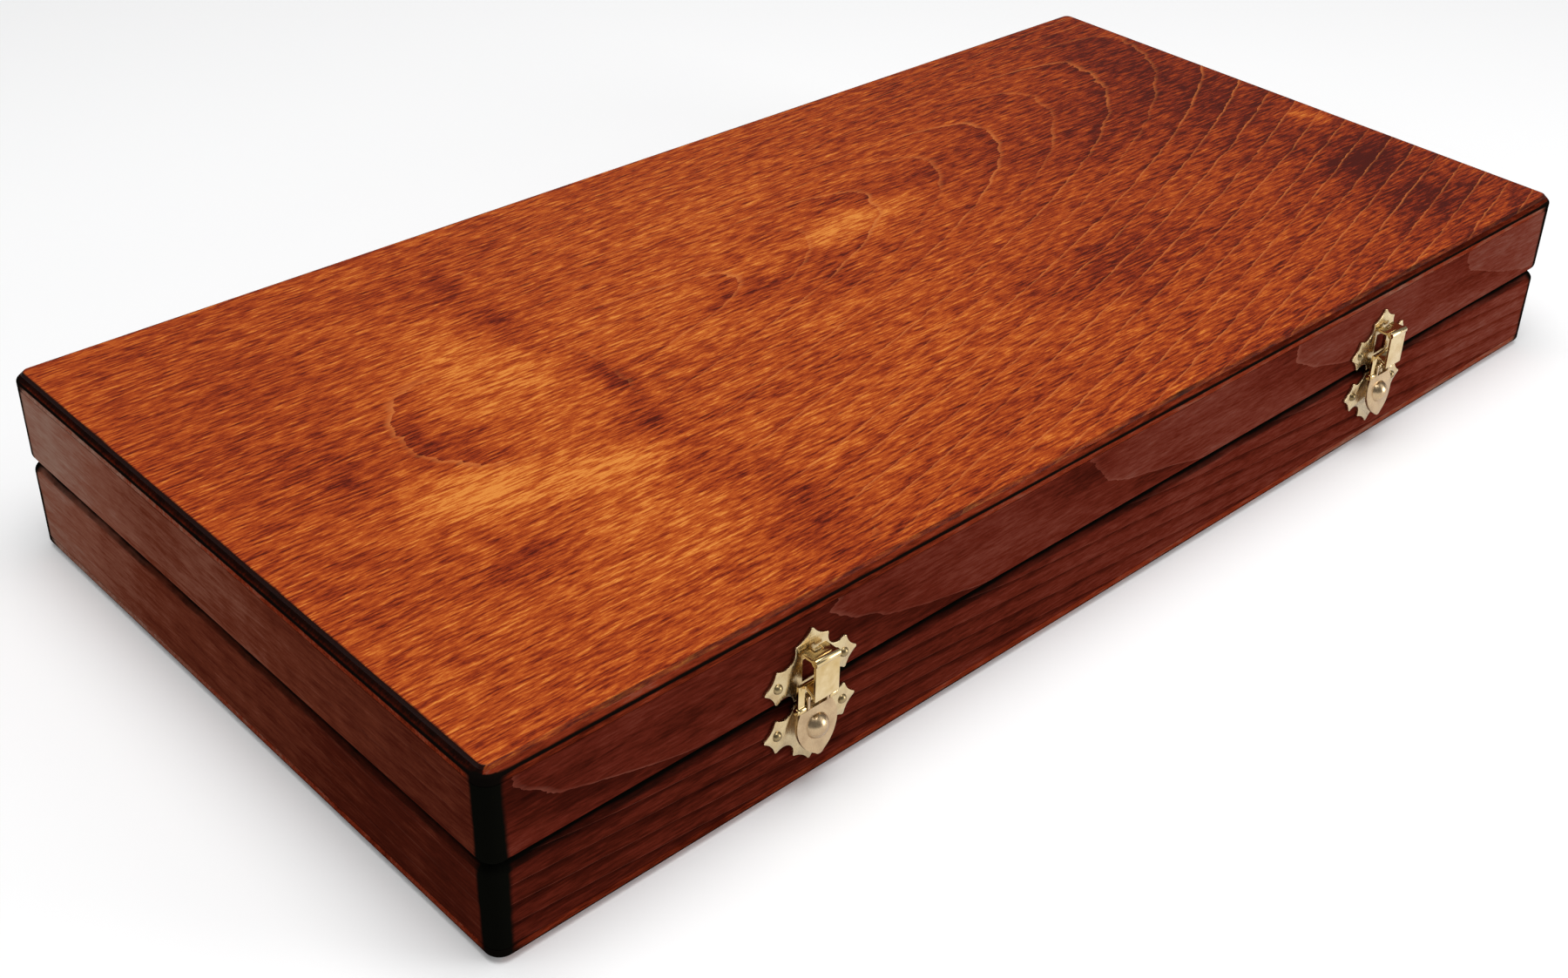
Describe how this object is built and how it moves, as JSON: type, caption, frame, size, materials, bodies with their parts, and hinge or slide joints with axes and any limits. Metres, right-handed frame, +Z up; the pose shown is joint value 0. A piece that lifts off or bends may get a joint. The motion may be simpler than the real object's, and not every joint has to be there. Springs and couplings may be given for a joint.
{
  "type": "folding backgammon set",
  "caption": "Closed folding wooden backgammon case of two equal trays, with hinges behind, two pressed brass draw latches in front, and checkers, dice and doubling cube inside.",
  "frame": {"origin": "centre of the case's flat underside, on the surface it rests on", "axes": "+X along the long side, +Y toward the hinges, +Z up; the latches face -Y"},
  "size_m": [0.4, 0.2087, 0.052],
  "materials": {
    "lower_front_rail": "dark red-brown stain under satin lacquer",
    "lower_back_rail": "dark red-brown stain under satin lacquer",
    "lower_left_rail": "dark red-brown stain under satin lacquer",
    "lower_right_rail": "dark red-brown stain under satin lacquer",
    "lower_panel": "stained plywood under satin lacquer",
    "lower_points_light": "light veneer under satin lacquer",
    "lower_points_dark": "dark veneer under satin lacquer",
    "upper_front_rail": "dark red-brown stain under satin lacquer",
    "upper_back_rail": "dark red-brown stain under satin lacquer",
    "upper_left_rail": "dark red-brown stain under satin lacquer",
    "upper_right_rail": "dark red-brown stain under satin lacquer",
    "upper_panel": "stained plywood under satin lacquer",
    "upper_points_light": "light veneer under satin lacquer",
    "upper_points_dark": "dark veneer under satin lacquer",
    "hinge_left_leaf_lower": "thin plated brass, slightly dulled",
    "hinge_left_leaf_upper": "thin plated brass, slightly dulled",
    "hinge_left_pin": "thin plated brass, slightly dulled",
    "hinge_right_leaf_lower": "thin plated brass, slightly dulled",
    "hinge_right_leaf_upper": "thin plated brass, slightly dulled",
    "hinge_right_pin": "thin plated brass, slightly dulled",
    "hinge_screws_lower": "plated screw heads",
    "hinge_screws_upper": "plated screw heads",
    "latch_left_base": "pale gold plated pressed sheet",
    "latch_left_catch": "pale gold plated pressed sheet",
    "latch_left_lever": "pale gold plated pressed sheet",
    "latch_left_link": "pale gold plated pressed sheet",
    "latch_left_pin": "pale gold plated pressed sheet",
    "latch_left_rivets": "pale gold plated pressed sheet",
    "latch_right_base": "pale gold plated pressed sheet",
    "latch_right_catch": "pale gold plated pressed sheet",
    "latch_right_lever": "pale gold plated pressed sheet",
    "latch_right_link": "pale gold plated pressed sheet",
    "latch_right_pin": "pale gold plated pressed sheet",
    "latch_right_rivets": "pale gold plated pressed sheet",
    "latch_nails_lower": "pale gold plated round head",
    "latch_nails_upper": "pale gold plated round head",
    "checkers_light_1": "turned hardwood, lacquered",
    "checkers_light_2": "turned hardwood, lacquered",
    "checkers_light_3": "turned hardwood, lacquered",
    "checkers_dark_1": "turned hardwood, lacquered",
    "checkers_dark_2": "turned hardwood, lacquered",
    "checkers_dark_3": "turned hardwood, lacquered",
    "dice_light": "glossy, sunk spots",
    "dice_dark": "glossy, sunk spots",
    "doubling_cube": "glossy, plain numerals"
  },
  "bodies": {
    "base": {"lower_front_rail": "lower_front_rail", "lower_back_rail": "lower_back_rail", "lower_left_rail": "lower_left_rail", "lower_right_rail": "lower_right_rail", "lower_panel": "lower_panel", "lower_points_light": "lower_points_light", "lower_points_dark": "lower_points_dark", "hinge_left_leaf_lower": "hinge_left_leaf_lower", "hinge_right_leaf_lower": "hinge_right_leaf_lower", "hinge_left_pin": "hinge_left_pin", "hinge_right_pin": "hinge_right_pin", "hinge_screws_lower": "hinge_screws_lower", "latch_left_base": "latch_left_base", "latch_right_base": "latch_right_base", "latch_left_pin": "latch_left_pin", "latch_right_pin": "latch_right_pin", "latch_nails_lower": "latch_nails_lower"},
    "lid": {"upper_front_rail": "upper_front_rail", "upper_back_rail": "upper_back_rail", "upper_left_rail": "upper_left_rail", "upper_right_rail": "upper_right_rail", "upper_panel": "upper_panel", "upper_points_light": "upper_points_light", "upper_points_dark": "upper_points_dark", "hinge_left_leaf_upper": "hinge_left_leaf_upper", "hinge_right_leaf_upper": "hinge_right_leaf_upper", "hinge_screws_upper": "hinge_screws_upper", "latch_left_catch": "latch_left_catch", "latch_right_catch": "latch_right_catch", "latch_nails_upper": "latch_nails_upper"},
    "latch_left_lever_body": {"latch_left_lever": "latch_left_lever", "latch_left_rivets": "latch_left_rivets"},
    "latch_left_link_body": {"latch_left_link": "latch_left_link"},
    "latch_right_lever_body": {"latch_right_lever": "latch_right_lever", "latch_right_rivets": "latch_right_rivets"},
    "latch_right_link_body": {"latch_right_link": "latch_right_link"},
    "checkers_light_1_body": {"checkers_light_1": "checkers_light_1"},
    "checkers_light_2_body": {"checkers_light_2": "checkers_light_2"},
    "checkers_light_3_body": {"checkers_light_3": "checkers_light_3"},
    "checkers_dark_1_body": {"checkers_dark_1": "checkers_dark_1"},
    "checkers_dark_2_body": {"checkers_dark_2": "checkers_dark_2"},
    "checkers_dark_3_body": {"checkers_dark_3": "checkers_dark_3"},
    "dice_light_body": {"dice_light": "dice_light"},
    "dice_dark_body": {"dice_dark": "dice_dark"},
    "doubling_cube_body": {"doubling_cube": "doubling_cube"}
  },
  "joints": [
    {"name": "lid_hinge", "type": "hinge", "parent": "base", "child": "lid", "pos_m": [0, 0.1008, 0.026], "axis": [-1, 0, 0], "range_deg": [0, 180]},
    {"name": "latch_left_lever_turn", "type": "hinge", "parent": "base", "child": "latch_left_lever_body", "pos_m": [-0.1145, -0.1024, 0.0276], "axis": [-1, 0, 0], "range_deg": [0, 90]},
    {"name": "latch_left_link_turn", "type": "hinge", "parent": "latch_left_lever_body", "child": "latch_left_link_body", "pos_m": [-0.1145, -0.1024, 0.025], "axis": [-1, 0, 0], "range_deg": [-91, 1]},
    {"name": "latch_right_lever_turn", "type": "hinge", "parent": "base", "child": "latch_right_lever_body", "pos_m": [0.108, -0.1024, 0.0276], "axis": [-1, 0, 0], "range_deg": [0, 90]},
    {"name": "latch_right_link_turn", "type": "hinge", "parent": "latch_right_lever_body", "child": "latch_right_link_body", "pos_m": [0.108, -0.1024, 0.025], "axis": [-1, 0, 0], "range_deg": [-91, 1]},
    {"name": "checkers_light_1_lift", "type": "slide", "parent": "base", "child": "checkers_light_1_body", "axis": [0, 0, 1], "range_m": [0, 0.0235]},
    {"name": "checkers_light_2_lift", "type": "slide", "parent": "base", "child": "checkers_light_2_body", "axis": [0, 0, 1], "range_m": [0, 0.0235]},
    {"name": "checkers_light_3_lift", "type": "slide", "parent": "base", "child": "checkers_light_3_body", "axis": [0, 0, 1], "range_m": [0, 0.0235]},
    {"name": "checkers_dark_1_lift", "type": "slide", "parent": "base", "child": "checkers_dark_1_body", "axis": [0, 0, 1], "range_m": [0, 0.0235]},
    {"name": "checkers_dark_2_lift", "type": "slide", "parent": "base", "child": "checkers_dark_2_body", "axis": [0, 0, 1], "range_m": [0, 0.0235]},
    {"name": "checkers_dark_3_lift", "type": "slide", "parent": "base", "child": "checkers_dark_3_body", "axis": [0, 0, 1], "range_m": [0, 0.0235]},
    {"name": "dice_light_lift", "type": "slide", "parent": "base", "child": "dice_light_body", "axis": [0, 0, 1], "range_m": [0, 0.0235]},
    {"name": "dice_dark_lift", "type": "slide", "parent": "base", "child": "dice_dark_body", "axis": [0, 0, 1], "range_m": [0, 0.0235]},
    {"name": "doubling_cube_lift", "type": "slide", "parent": "base", "child": "doubling_cube_body", "axis": [0, 0, 1], "range_m": [0, 0.0235]}
  ],
  "couplings": [
    {"joint": "latch_left_link_turn", "follows": "latch_left_lever_turn", "ratio": -1},
    {"joint": "latch_right_link_turn", "follows": "latch_right_lever_turn", "ratio": -1}
  ]
}
